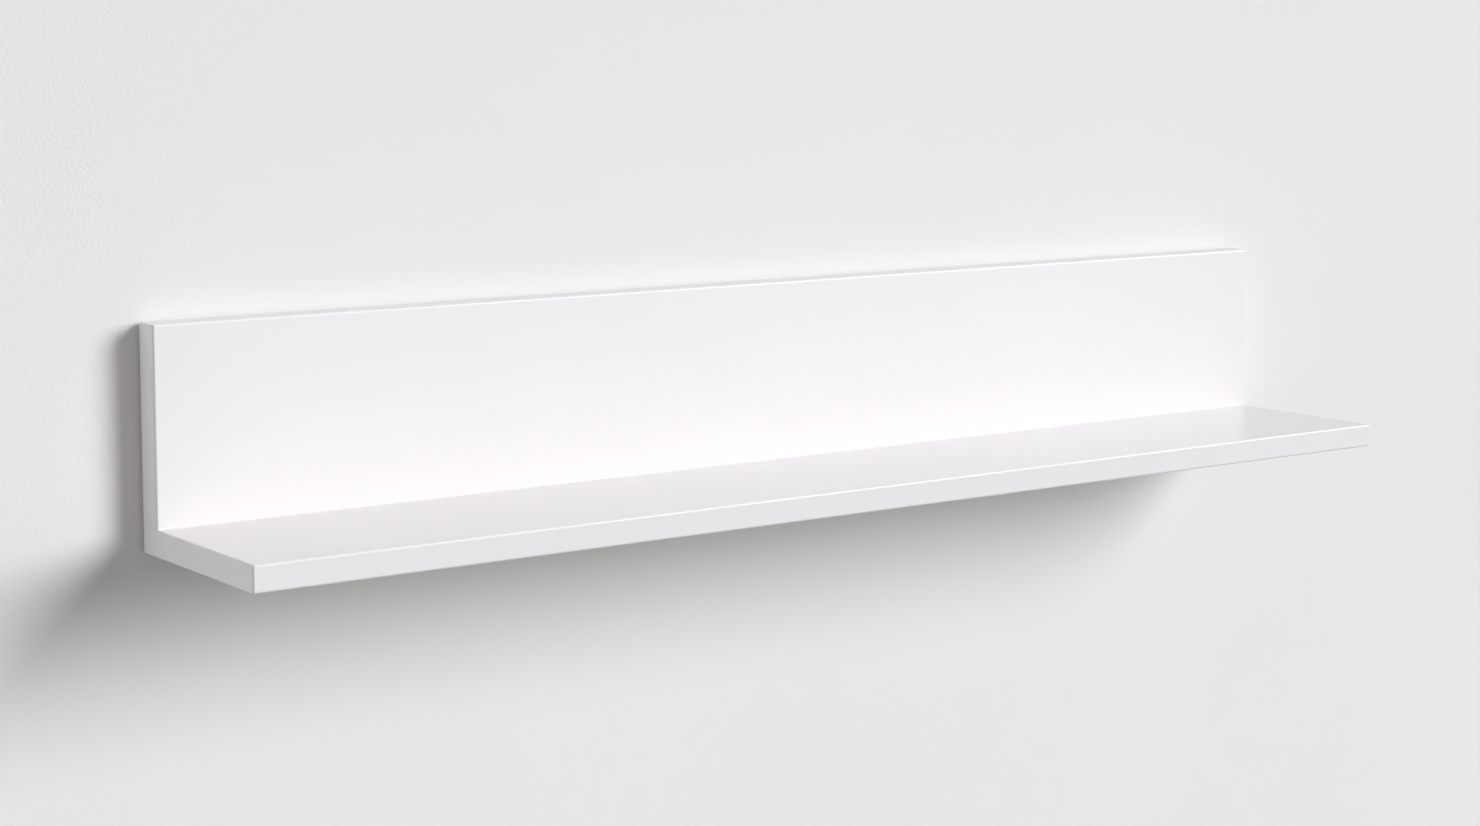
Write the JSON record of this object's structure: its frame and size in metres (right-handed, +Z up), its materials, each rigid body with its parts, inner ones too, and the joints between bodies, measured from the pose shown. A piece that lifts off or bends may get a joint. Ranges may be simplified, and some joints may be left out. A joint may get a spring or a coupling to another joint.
{
  "type": "floating wall shelf",
  "caption": "White L-shaped floating wall shelf: a tall back panel with a plain shelf board along its foot, hung on a hidden hook rail that it lifts off.",
  "frame": {"origin": "middle of the wall rail's line of screw holes, on the wall's face", "axes": "+X along the shelf, +Y into the wall so that the shelf's front faces -Y, +Z up"},
  "size_m": [1, 0.164, 0.152],
  "materials": {
    "white_lacquer": "satin",
    "beech": "matte",
    "zinc_steel": "satin",
    "rail_aluminium": "satin",
    "silicone": "satin"
  },
  "bodies": {
    "wall_mount": {"wall_rail": "rail_aluminium"},
    "shelf": {"back_panel": "white_lacquer", "shelf_board": "white_lacquer", "joint_dowels": "beech", "joint_screws": "zinc_steel", "panel_rail": "rail_aluminium", "panel_rail_screws": "zinc_steel", "bumper_left": "silicone", "bumper_mid_left": "silicone", "bumper_mid_right": "silicone", "bumper_right": "silicone"}
  },
  "joints": [
    {"name": "lift_off", "type": "slide", "parent": "wall_mount", "child": "shelf", "axis": [0, 0, 1], "range_m": [0, 0.012]}
  ]
}
